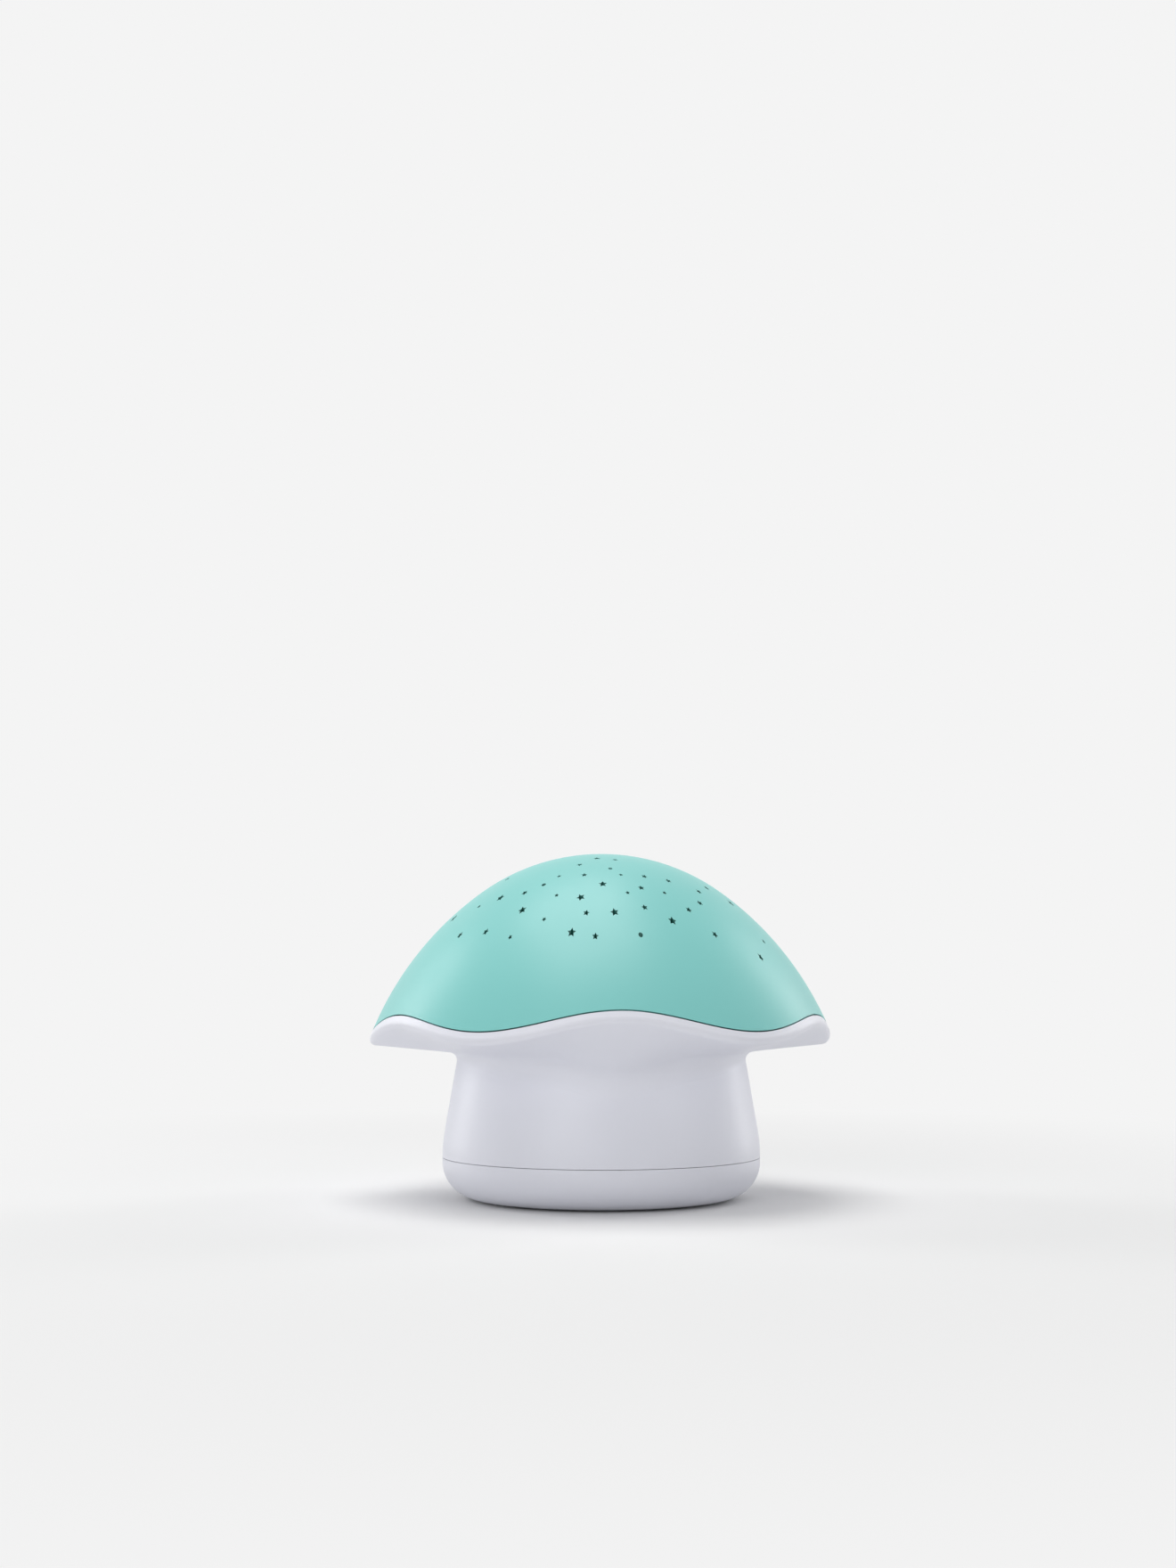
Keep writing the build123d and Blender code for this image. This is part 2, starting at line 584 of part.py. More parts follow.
def battery_door():
    door = Pos(0, 0, FOOT_HEIGHT) * extrude(door_outline(0), DOOR_THICKNESS)
    leg_y = FIT - BAY_LENGTH / 2
    leg = box(TAB_WIDTH, TAB_FOOT, DOOR_TOP, DOOR_TOP + TAB_HEIGHT, 0, leg_y + TAB_FOOT / 2)
    hook_foot = FLOOR_TOP + FIT
    hook = box(TAB_WIDTH, 2 * TAB_FOOT, hook_foot, DOOR_TOP + TAB_HEIGHT, 0, leg_y)
    door += spots([Vector(x, 0) for x in TAB_SPOTS], leg + hook)
    door -= Pos(0, DOOR_SCREW_Y) * post(SCREW_RADIUS + FIT, 0, DOOR_TOP)
    door -= Pos(0, DOOR_SCREW_Y) * post(SCREW_HEAD_RADIUS + FIT / 2, 0, DOOR_SCREW_SEAT)
    return door


def foot_pads():
    return spots(PAD_SPOTS, post(PAD_RADIUS, 0, PAD_THICKNESS))


# ---- Screws ----

def screw(radius, length, head_radius, head):
    """A screw pointing up, with the underside of its head at the origin and a cross recess."""
    recess_depth = 0.6 * head
    arm = Box(1.3 * head_radius, 0.3 * head_radius, recess_depth, align=UP)
    tip = Pos(0, 0, length - radius) * Cone(radius, 0.35 * radius, radius, align=UP)
    shank = Cylinder(radius, length - radius, align=UP) + tip
    return shank + Pos(0, 0, -head) * (Cylinder(head_radius, head, align=UP) - [arm, Rot(0, 0, 90) * arm])


def big_screw(reach):
    return screw(SCREW_RADIUS, reach, SCREW_HEAD_RADIUS, SCREW_HEAD)


def small_screw(reach):
    return screw(SMALL_SCREW_RADIUS, reach, SMALL_HEAD_RADIUS, SMALL_HEAD)


def housing_screws():
    seat = TOWER_TOP - TOWER_END
    return spots(POST_SPOTS, Pos(0, 0, seat) * big_screw(TOWER_END + SCREW_REACH))


def door_screw():
    reach = DOOR_TOP - DOOR_SCREW_SEAT + SCREW_REACH / 2
    captive = screw(SCREW_RADIUS, reach, SCREW_HEAD_RADIUS, DOOR_SCREW_HEAD)
    return Pos(0, DOOR_SCREW_Y, DOOR_SCREW_SEAT) * captive


def deck_screws():
    seat = DECK_Z + DECK_THICKNESS
    return spots(DECK_SPOTS, Pos(0, 0, seat) * Rot(180, 0, 0) * big_screw(SCREW_REACH / 2))


def led_board_screws():
    seat = LED_BOARD_Z + LED_BOARD_THICKNESS
    return spots(LED_SCREW_SPOTS, Pos(0, 0, seat) * Rot(180, 0, 0) * small_screw(SMALL_REACH))


def board_screws():
    reach = BOARD_THICKNESS + SMALL_REACH
    return [Pos(x, BOARD_Y, z) * Rot(-90, 0, 0) * small_screw(reach) for x, z in BOARD_CORNERS]


# ---- Batteries and contacts ----

CELL_X = [(i - (CELL_COUNT - 1) / 2) * CELL_PITCH for i in range(CELL_COUNT)]
CELL_ENDS = [1 if i % 2 else -1 for i in range(CELL_COUNT)]    # which way each nub points


def battery_cells():
    """Cells laid side by side, nubs to alternate ends, each pushed against its plate."""
    body = Cylinder(CELL_RADIUS, CELL_LENGTH, align=DOWN)
    cell = fillet(body.edges().filter_by(GeomType.CIRCLE), CELL_CORNER)
    cell += Cylinder(NUB_RADIUS, NUB_LENGTH, align=UP)
    shoulder = BAY_LENGTH / 2 - CONTACT_THICKNESS - CONTACT_GAP - NUB_LENGTH
    places = [Pos(x, end * shoulder, CELL_Z) * Rot(-90 * end, 0, 0) for x, end in zip(CELL_X, CELL_ENDS)]
    return [place * cell for place in places]


def contact_plates():
    """Plates on the end walls of the bay: one per end spans two cells, the other carries one."""
    plates = []
    for end in (-1, 1):
        y = end * (BAY_LENGTH - CONTACT_THICKNESS) / 2
        pair, single = (CELL_X[:2], CELL_X[2:]) if end < 0 else (CELL_X[1:], CELL_X[:1])
        for cells in (pair, single):
            width = cells[-1] - cells[0] + CONTACT_HEIGHT
            plate = Box(width, CONTACT_THICKNESS, CONTACT_HEIGHT)
            plates.append(Pos((cells[0] + cells[-1]) / 2, y, CELL_Z) * plate)
    return plates


def contact_springs():
    """A bowed leaf at the flat end of each cell."""
    depth = SPRING_SPACE - CONTACT_GAP
    half = CONTACT_HEIGHT / 2
    springs = []
    for x, end in zip(CELL_X, CELL_ENDS):
        outer = ThreePointArc((0, -half), (depth, 0), (0, half))
        inner = ThreePointArc((0, half - 2 * CONTACT_THICKNESS), (depth - CONTACT_THICKNESS, 0),
                              (0, 2 * CONTACT_THICKNESS - half))
        ends = Line(outer @ 1, inner @ 0) + Line(inner @ 1, outer @ 0)
        leaf = extrude(make_face(Plane.YZ * (outer + inner + ends)), CONTACT_HEIGHT / 3, both=True)
        wall_y = CONTACT_THICKNESS + CONTACT_GAP / 2 - BAY_LENGTH / 2
        springs.append(Pos(x, end * wall_y, CELL_Z) * Rot(0, 0, 90 - 90 * end) * leaf)
    return springs


# ---- Main board, switches and buttons ----

def main_board():
    board = Box(BOARD_WIDTH, BOARD_THICKNESS, BOARD_HEIGHT, align=(Align.CENTER, Align.MIN, Align.CENTER))
    board = Pos(0, BOARD_Y, BUTTON_Z) * fillet(board.edges().filter_by(Axis.Y), BOARD_CORNER)
    hole = SMALL_SCREW_RADIUS + PLUNGER_PLAY
    return board - [along_y(x, z, hole, 0, RIM_RADIUS) for x, z in BOARD_CORNERS]


def board_chips():
    """The controller, a transistor row and an upright capacitor on the front of the board."""
    front = (Align.CENTER, Align.MAX, Align.CENTER)
    controller = Pos(0, BOARD_Y, BUTTON_Z) * Box(*CONTROLLER_SIZE, align=front)
    level = BUTTON_Z - CHIP_DROP
    row = [Pos(x, BOARD_Y, level) * Box(*TRANSISTOR_SIZE, align=front) for x in TRANSISTOR_X]
    radius, length = CAPACITOR_SIZE
    capacitor = along_y(CAPACITOR_X, level + 1, radius, BOARD_Y - length, BOARD_Y)
    return [controller, *row, capacitor]


PLUNGER_TOP = BOARD_BACK + SWITCH_HEIGHT + PLUNGER_PROUD


def tact_switches():
    body = Box(SWITCH_SIZE, SWITCH_HEIGHT, SWITCH_SIZE, align=(Align.CENTER, Align.MIN, Align.CENTER))
    well = along_y(0, 0, PLUNGER_RADIUS + PLUNGER_PLAY, SWITCH_HEIGHT - PLUNGER_LENGTH, SWITCH_HEIGHT)
    return [Pos(x, BOARD_BACK, BUTTON_Z) * (body - well) for x in button_places().values()]


def plunger(side):
    bottom = PLUNGER_TOP - PLUNGER_PROUD - PLUNGER_LENGTH + BUTTON_TRAVEL + PLUNGER_PLAY
    return along_y(button_places()[side], BUTTON_Z, PLUNGER_RADIUS, bottom, PLUNGER_TOP)


def button(side):
    """A round button whose face follows the stem, with a flange that keeps it in and a post."""
    x = button_places()[side]
    top = BUTTON_Z + 2 * BUTTON_RADIUS
    head = along_y(x, BUTTON_Z, BUTTON_RADIUS, BOARD_BACK, RIM_RADIUS) & stem(-BUTTON_PROUD, top)
    head -= stem(WALL + FIT + BUTTON_FLANGE, top)
    rim = along_y(x, BUTTON_Z, BUTTON_RADIUS + BUTTON_FLANGE, BOARD_BACK, RIM_RADIUS)
    rim = (rim & stem(WALL + FIT, top)) - stem(WALL + FIT + BUTTON_FLANGE, top)
    rod = along_y(x, BUTTON_Z, BUTTON_POST, PLUNGER_TOP + CONTACT_GAP, RIM_RADIUS)
    return head + rim + (rod & stem(WALL + FIT + CONTACT_GAP, top))


# ---- Light ----

PEDESTAL_FOOT = DECK_Z + DECK_THICKNESS
LED_BOARD_Z = PEDESTAL_FOOT + PEDESTAL_HEIGHT
LED_SCREW_SPOTS = around(LED_BOARD_RADIUS - SMALL_HEAD_RADIUS - 2 * FIT, 90, 2)


def light_deck():
    """The dark disc under the cap, with a raised rim, that keeps stray light off the star holes."""
    edge = TONGUE_RADIUS - TONGUE_WALL - 2 * FIT
    deck = post(edge, DECK_Z, PEDESTAL_FOOT)
    deck += ring(edge - DECK_THICKNESS, edge, DECK_Z, PEDESTAL_FOOT + DECK_THICKNESS)
    deck -= post(LEAD_PITCH * 2 + LEAD_RADIUS, 0, HEIGHT)
    return deck - spots(DECK_SPOTS, post(SCREW_RADIUS + PLUNGER_PLAY, 0, HEIGHT))


def led_pedestal():
    """A hollow collar on the deck that lifts the lamps to the middle of the dome."""
    foot = PEDESTAL_FOOT
    collar = Pos(0, 0, foot) * Cone(PEDESTAL_RADIUS + 2, PEDESTAL_RADIUS, PEDESTAL_HEIGHT, align=UP)
    collar -= post(LEAD_PITCH * 2 + LEAD_RADIUS, 0, HEIGHT)
    pilot = SMALL_SCREW_RADIUS + SCREW_PLAY
    return collar - spots(LED_SCREW_SPOTS, post(pilot, foot, HEIGHT))


def led_board():
    board = post(LED_BOARD_RADIUS, LED_BOARD_Z, LED_BOARD_Z + LED_BOARD_THICKNESS)
    return board - spots(LED_SCREW_SPOTS, post(SMALL_SCREW_RADIUS + PLUNGER_PLAY, 0, HEIGHT))


def leds():
    """Three round-topped lamps in a triangle."""
    foot = LED_BOARD_Z + LED_BOARD_THICKNESS
    straight = LED_HEIGHT - LED_RADIUS
    flange = LED_RADIUS + LED_FLANGE
    side = Polyline(
        (0, LED_HEIGHT), (0, 0), (flange, 0), (flange, LED_FLANGE_HEIGHT),
        (LED_RADIUS, LED_FLANGE_HEIGHT), (LED_RADIUS, straight))
    outline = side + CenterArc((0, straight), LED_RADIUS, 0, 90)
    return spots(around(LED_CIRCLE, 0, LED_COUNT), Pos(0, 0, foot) * turned(outline))


# ---- Leads ----

def lead(bend, *points):
    """A round wire along a path of straight runs and equal bends."""
    path = FilletPolyline(*points, radius=bend)
    start = Plane(origin=path @ 0, z_dir=path % 0)
    return sweep(start * Circle(LEAD_RADIUS), path=path)


def led_leads():
    """From the front of the main board up the middle of the stem to the lamp board."""
    front = BOARD_Y - CONTACT_GAP
    top = LED_BOARD_Z - CONTACT_GAP
    level = BUTTON_Z + BOARD_HEIGHT / 3
    places = [LEAD_PITCH * (i - 1.5) for i in range(4)]
    return [lead(LED_LEAD_BEND, (x, front, level), (x, 0, level), (x, 0, top)) for x in places]


def battery_leads():
    """From the tops of the contact plates, out through the end wall and up to the main board."""
    front = BOARD_Y - CONTACT_GAP
    start = BAY_LENGTH / 2 - CONTACT_THICKNESS
    middle = (start + front) / 2
    level = BUTTON_Z - BOARD_HEIGHT / 2 + 3 * LEAD_RADIUS
    turns = [(start, LEAD_EXIT_Z), (middle, LEAD_EXIT_Z), (middle, level), (front, level)]
    lanes = (-LEAD_PITCH / 2, LEAD_PITCH / 2)
    return [lead(BATTERY_LEAD_BEND, *[(x, y, z) for y, z in turns]) for x in lanes]


# ---- All pieces ----

PIECES = {
    "star_cap": star_cap,
    "stem_housing": stem_housing,
    "base_tray": base_tray,
    "battery_door": battery_door,
    "door_screw": door_screw,
    "foot_pads": foot_pads,
    "housing_screws": housing_screws,
    "light_deck": light_deck,
    "deck_screws": deck_screws,
    "led_pedestal": led_pedestal,
    "led_board": led_board,
    "led_board_screws": led_board_screws,
    "leds": leds,
    "main_board": main_board,
    "board_screws": board_screws,
    "board_chips": board_chips,
    "tact_switches": tact_switches,
    "power_button": lambda: button("power"),
    "power_plunger": lambda: plunger("power"),
    "colour_button": lambda: button("colour"),
    "colour_plunger": lambda: plunger("colour"),
    "battery_cells": battery_cells,
    "contact_plates": contact_plates,
    "contact_springs": contact_springs,
    "led_leads": led_leads,
    "battery_leads": battery_leads,
}


def write_pieces():
    os.makedirs("parts", exist_ok=True)
    for name, make in PIECES.items():
        piece = make()
        solids = piece if isinstance(piece, list) else [piece]
        whole = Compound(children=[s for item in solids for s in item.solids()])
        export_step(whole, f"parts/{name}.step")


if __name__ == "__main__":
    write_pieces()
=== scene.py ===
import bmesh
import bpy
import math
from mathutils import Matrix, Vector


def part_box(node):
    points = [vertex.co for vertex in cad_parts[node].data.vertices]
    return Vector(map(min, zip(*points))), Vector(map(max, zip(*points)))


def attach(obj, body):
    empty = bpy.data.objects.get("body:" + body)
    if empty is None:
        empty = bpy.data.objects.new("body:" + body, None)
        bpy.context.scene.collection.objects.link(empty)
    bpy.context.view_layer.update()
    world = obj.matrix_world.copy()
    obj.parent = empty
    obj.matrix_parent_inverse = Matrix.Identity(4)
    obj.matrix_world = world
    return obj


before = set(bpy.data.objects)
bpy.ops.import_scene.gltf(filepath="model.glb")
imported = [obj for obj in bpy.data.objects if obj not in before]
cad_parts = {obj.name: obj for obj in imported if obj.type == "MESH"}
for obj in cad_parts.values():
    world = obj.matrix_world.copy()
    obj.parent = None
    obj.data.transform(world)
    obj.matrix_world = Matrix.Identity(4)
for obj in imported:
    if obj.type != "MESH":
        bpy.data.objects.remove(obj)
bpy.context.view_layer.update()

# ---- Camera ----
# The lamp is seen nearly from the front, a little to the left of its front crest, from
# three quarters of a metre away and at the height of the lower dome.
eye_azimuth = math.radians(-4.7)
eye_distance = 0.775
eye_height = 0.0827
camera = bpy.data.objects.new("camera", bpy.data.cameras.new("camera"))
bpy.context.collection.objects.link(camera)
camera.data.lens = 45
camera.data.sensor_width = 36
camera.data.shift_x = -0.0085
camera.data.shift_y = 0.1307
camera.location = (
    eye_distance * math.sin(eye_azimuth), -eye_distance * math.cos(eye_azimuth), eye_height)
camera.rotation_euler = (math.radians(90), 0, eye_azimuth)
bpy.context.scene.camera = camera
bpy.context.scene.view_settings.view_transform = "Standard"

# ---- Studio ----
# A plain pale table top that runs off into a pale room, with a broad soft box overhead, a
# softer one in front, a small one to the right, and a narrow one at each side behind, which
# draw the rims of the cap.
studio_white = (0.905, 0.905, 0.905, 1)


def soft_box(name, place, aim_height, width, height, watts):
    """A rectangular light that faces a point on the star lamp's upright axis."""
    light = bpy.data.lights.new(name, "AREA")
    light.shape = "RECTANGLE"
    light.size = width
    light.size_y = height
    light.energy = watts
    holder = bpy.data.objects.new(name, light)
    bpy.context.collection.objects.link(holder)
    holder.location = place
    aim = Vector((0, 0, aim_height)) - Vector(place)
    holder.rotation_euler = aim.to_track_quat("-Z", "Y").to_euler()


soft_box("overhead_box", (-0.12, -0.02, 1.1), 0.05, 0.9, 0.7, 7.2)
soft_box("front_box", (-0.9, -1.5, 0.55), 0.06, 1.1, 0.9, 7.0)
soft_box("right_box", (1.3, -0.9, 0.5), 0.06, 0.7, 0.7, 2.0)
soft_box("left_strip", (-0.85, 0.55, 0.4), 0.08, 0.25, 0.9, 3.0)
soft_box("right_strip", (0.9, 0.5, 0.4), 0.08, 0.25, 0.9, 3.0)


def feed(tree, socket, value):
    """Links a socket to the one given, or sets it to a plain value."""
    if isinstance(value, bpy.types.NodeSocket):
        tree.links.new(value, socket)
    else:
        socket.default_value = value


def math_step(tree, operation, *values):
    """The result of a math node on sockets and plain numbers."""
    step = tree.nodes.new("ShaderNodeMath")
    step.operation = operation
    for socket, value in zip(step.inputs, values):
        feed(tree, socket, value)
    return step.outputs["Value"]


def background_rays(tree):
    """1 for rays that show the background: from the camera, or by gloss or glass."""
    rays = tree.nodes.new("ShaderNodeLightPath").outputs
    by_gloss = math_step(tree, "MAXIMUM", rays["Is Camera Ray"], rays["Is Glossy Ray"])
    return math_step(tree, "MAXIMUM", by_gloss, rays["Is Transmission Ray"])


def shade(tree, output, factor, first, second):
    """Feeds an output node with two shaders, mixed by a socket."""
    mix = tree.nodes.new("ShaderNodeMixShader")
    for socket, value in zip(mix.inputs, (factor, first, second)):
        tree.links.new(value, socket)
    tree.links.new(mix.outputs["Shader"], tree.nodes[output].inputs["Surface"])


room = bpy.data.worlds.new("room")
bpy.context.scene.world = room
room.use_nodes = True
room_tree = room.node_tree
ambient = room_tree.nodes["Background"]
ambient.inputs["Color"].default_value = (1, 1, 1, 1)
ambient.inputs["Strength"].default_value = 0.3
seen_room = room_tree.nodes.new("ShaderNodeBackground")
seen_room.inputs["Color"].default_value = studio_white
shade(
    room_tree, "World Output", background_rays(room_tree),
    ambient.outputs["Background"], seen_room.outputs["Background"])


def ranged(tree, value, low, high, to_low=0.0, to_high=1.0, kind="LINEAR"):
    """A socket's value, stretched from low..high to to_low..to_high and held at both ends."""
    stretch = tree.nodes.new("ShaderNodeMapRange")
    stretch.interpolation_type = kind
    for socket, given in (
            ("Value", value), ("From Min", low), ("From Max", high),
            ("To Min", to_low), ("To Max", to_high)):
        feed(tree, stretch.inputs[socket], given)
    return stretch.outputs["Result"]


def own_place(tree):
    """Where a point of the surface lies, in its object's own coordinates."""
    return tree.nodes.new("ShaderNodeTexCoord").outputs["Object"]


table_radius = 8.0
fade_start, fade_end = 0.12, 0.6
table_mesh = bmesh.new()
bmesh.ops.create_circle(table_mesh, cap_ends=True, segments=96, radius=table_radius)
table_top = bpy.data.objects.new("table_top", bpy.data.meshes.new("table_top"))
table_mesh.to_mesh(table_top.data)
table_mesh.free()
bpy.context.collection.objects.link(table_top)
table_paint = bpy.data.materials.new("table_paint")
table_paint.use_nodes = True
paint_tree = table_paint.node_tree
matt_paint = paint_tree.nodes["Principled BSDF"]
matt_paint.inputs["Base Color"].default_value = (0.84, 0.84, 0.84, 1)
matt_paint.inputs["Roughness"].default_value = 0.9
matt_paint.inputs["Specular IOR Level"].default_value = 0.1
far_paint = paint_tree.nodes.new("ShaderNodeEmission")
far_paint.inputs["Color"].default_value = studio_white
from_middle = paint_tree.nodes.new("ShaderNodeVectorMath")
from_middle.operation = "LENGTH"
paint_tree.links.new(own_place(paint_tree), from_middle.inputs[0])
fade = ranged(paint_tree, from_middle.outputs["Value"], fade_start, fade_end, kind="SMOOTHSTEP")
shade(
    paint_tree, "Material Output", math_step(paint_tree, "MULTIPLY", fade, background_rays(paint_tree)),
    matt_paint.outputs["BSDF"], far_paint.outputs["Emission"])
table_top.data.materials.append(table_paint)

# ---- Base tray ----
# The base is moulded in a cool white plastic from a finely spark-eroded mould, which gives
# it a satin skin. It holds the battery bay, and the stem is screwed to it from below.


def node_group(name, inputs):
    """An empty shader group with a Place input, the given inputs, and a surface's three outputs."""
    group = bpy.data.node_groups.new(name, "ShaderNodeTree")
    group.interface.new_socket("Place", in_out="INPUT", socket_type="NodeSocketVector")
    for socket_name, value in inputs.items():
        kind = "NodeSocketFloat" if isinstance(value, float) else "NodeSocketColor"
        socket = group.interface.new_socket(socket_name, in_out="INPUT", socket_type=kind)
        socket.default_value = value
    group.interface.new_socket("Colour", in_out="OUTPUT", socket_type="NodeSocketColor")
    group.interface.new_socket("Roughness", in_out="OUTPUT", socket_type="NodeSocketFloat")
    group.interface.new_socket("Normal", in_out="OUTPUT", socket_type="NodeSocketVector")
    return group, group.nodes.new("NodeGroupInput").outputs, group.nodes.new("NodeGroupOutput").inputs


def noise(tree, place, scale, detail):
    """A cloudy value over a place, from 0 to 1."""
    texture = tree.nodes.new("ShaderNodeTexNoise")
    texture.inputs["Detail"].default_value = detail
    feed(tree, texture.inputs["Scale"], scale)
    feed(tree, texture.inputs["Vector"], place)
    return texture.outputs["Fac"]


def blended(tree, factor, first, second):
    """A colour that runs from the first to the second as the factor goes from 0 to 1."""
    mix = tree.nodes.new("ShaderNodeMix")
    mix.data_type = "RGBA"
    for socket, value in (("Factor", factor), ("A", first), ("B", second)):
        feed(tree, mix.inputs[socket], value)
    return mix.outputs["Result"]


def raised_by(tree, height, distance):
    """The normal of a surface that a height from 0 to 1 raises by a distance in metres."""
    bump = tree.nodes.new("ShaderNodeBump")
    bump.inputs["Strength"].default_value = 1
    feed(tree, bump.inputs["Height"], height)
    feed(tree, bump.inputs["Distance"], distance)
    return bump.outputs["Normal"]


def moulded_skin():
    """Node group: a moulded plastic's faint flow tone, its sheen that varies, and its fine grain."""
    group, given, made = node_group("moulded_skin", {
        "Colour": (0.8, 0.8, 0.8, 1), "Deep Colour": (0.7, 0.7, 0.7, 1), "Sheen": 0.4,
        "Grain Size": 0.0004, "Grain Depth": 0.00001})
    flow = noise(group, given["Place"], 18, 2)
    handling = ranged(group, noise(group, given["Place"], 60, 5), 0, 1, -0.06, 0.06)
    grain = noise(group, given["Place"], math_step(group, "DIVIDE", 1, given["Grain Size"]), 3)
    feed(group, made["Colour"], blended(group, flow, given["Colour"], given["Deep Colour"]))
    feed(group, made["Roughness"], math_step(group, "ADD", given["Sheen"], handling))
    feed(group, made["Normal"], raised_by(group, grain, given["Grain Depth"]))
    return group


def finish(name, group, settings, turn=(0, 0, 0), metallic=0.0):
    """A material whose colour, roughness and normal come from a node group."""
    material = bpy.data.materials.new(name)
    material.use_nodes = True
    tree = material.node_tree
    turned = tree.nodes.new("ShaderNodeMapping")
    turned.inputs["Rotation"].default_value = turn
    feed(tree, turned.inputs["Vector"], own_place(tree))
    look = tree.nodes.new("ShaderNodeGroup")
    look.node_tree = group
    feed(tree, look.inputs["Place"], turned.outputs["Vector"])
    for socket, value in settings.items():
        look.inputs[socket].default_value = value
    surface = tree.nodes["Principled BSDF"].inputs
    surface["Metallic"].default_value = metallic
    for socket, result in (("Base Color", "Colour"), ("Roughness", "Roughness"), ("Normal", "Normal")):
        feed(tree, surface[socket], look.outputs[result])
    return material


skin_group = moulded_skin()


def plastic(name, colour, sheen=0.42, grain_size=0.0004, grain_depth=0.00001):
    """A moulded plastic in one colour, very slightly deeper where the flow tone is dark."""
    deep = [0.96 * part for part in colour]
    return finish(name, skin_group, {
        "Colour": (*colour, 1), "Deep Colour": (*deep, 1), "Sheen": sheen,
        "Grain Size": grain_size, "Grain Depth": grain_depth})


def dress(node, material):
    """Gives a CAD node its material."""
    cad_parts[node].material_slots[0].material = material


white_plastic = plastic("white_plastic", (0.79, 0.80, 0.87))
dress("base_tray", white_plastic)

# ---- Contacts ----
# Plates and bowed leaf springs of nickel-plated spring steel, stamped and pressed into
# slots at the ends of the battery bay.


def worked_metal():
    """Node group: metal with fine streaks along X, a patchy sheen and a cloudy tone."""
    group, given, made = node_group("worked_metal", {
        "Colour": (0.6, 0.6, 0.6, 1), "Deep Colour": (0.5, 0.5, 0.5, 1), "Sheen": 0.3})
    drawn = group.nodes.new("ShaderNodeMapping")
    drawn.inputs["Scale"].default_value = (1, 12, 12)
    feed(group, drawn.inputs["Vector"], given["Place"])
    cloud = noise(group, given["Place"], 300, 4)
    streak = noise(group, drawn.outputs["Vector"], 900, 3)
    patches = ranged(group, streak, 0, 1, -0.1, 0.1)
    feed(group, made["Colour"], blended(group, cloud, given["Colour"], given["Deep Colour"]))
    feed(group, made["Roughness"], math_step(group, "ADD", given["Sheen"], patches))
    feed(group, made["Normal"], raised_by(group, streak, 0.000002))
    return group


metal_group = worked_metal()


def metal(name, colour, sheen):
    """A metal in one colour, a little deeper where the cloudy tone is dark."""
    deep = [0.88 * part for part in colour]
    settings = {"Colour": (*colour, 1), "Deep Colour": (*deep, 1), "Sheen": sheen}
    return finish(name, metal_group, settings, metallic=1.0)


nickel = metal("nickel", (0.70, 0.68, 0.63), 0.3)
dress("contact_plates", nickel)
dress("contact_springs", nickel)

# ---- Battery leads ----
# Two short PVC-insulated wires, red for plus and black for minus, from the contact plates
# out through the end wall of the bay and up to the main board.
wire_radius = 0.0008
wire_pitch = 0.0019
red_pvc = (0.62, 0.03, 0.03)
black_pvc = (0.02, 0.02, 0.02)


def split(tree, vector):
    """The X, Y and Z of a vector socket."""
    parts = tree.nodes.new("ShaderNodeSeparateXYZ")
    tree.links.new(vector, parts.inputs["Vector"])
    return parts.outputs["X"], parts.outputs["Y"], parts.outputs["Z"]


def bands(tree, value, starts_and_colours):
    """Bands of plain colour along a value from 0 to 1, each from its own start."""
    ramp = tree.nodes.new("ShaderNodeValToRGB")
    ramp.color_ramp.interpolation = "CONSTANT"
    stops = ramp.color_ramp.elements
    while len(stops) < len(starts_and_colours):
        stops.new(1.0)
    for stop, (start, colour) in zip(stops, starts_and_colours):
        stop.position = start
        stop.color = (*colour, 1)
    tree.links.new(value, ramp.inputs["Fac"])
    return ramp.outputs["Color"]


def recolour(material, paint):
    """Lays paint, a function from the tree and the old colour to the new one, over a material."""
    tree = material.node_tree
    surface = tree.nodes["Principled BSDF"].inputs
    feed(tree, surface["Base Color"], paint(tree, tree.nodes["Group"].outputs["Colour"]))
    return material


def row_of_wires(name, colours):
    """Soft PVC, in one colour for each wire of a row, told apart by where they lie in X."""
    half_width = len(colours) * wire_pitch / 2

    def paint(tree, _):
        x = split(tree, own_place(tree))[0]
        lanes = [(wire / len(colours), colour) for wire, colour in enumerate(colours)]
        return bands(tree, ranged(tree, x, -half_width, half_width), lanes)

    pvc = plastic(name, black_pvc, sheen=0.36, grain_size=0.0009, grain_depth=0.00002)
    return recolour(pvc, paint)


dress("battery_leads", row_of_wires("battery_lead_pvc", [black_pvc, red_pvc]))

# ---- Main board ----
# A green circuit board, screwed upright to bosses on the back wall of the stem, with its
# parts on the front and the two tact switches on the back.


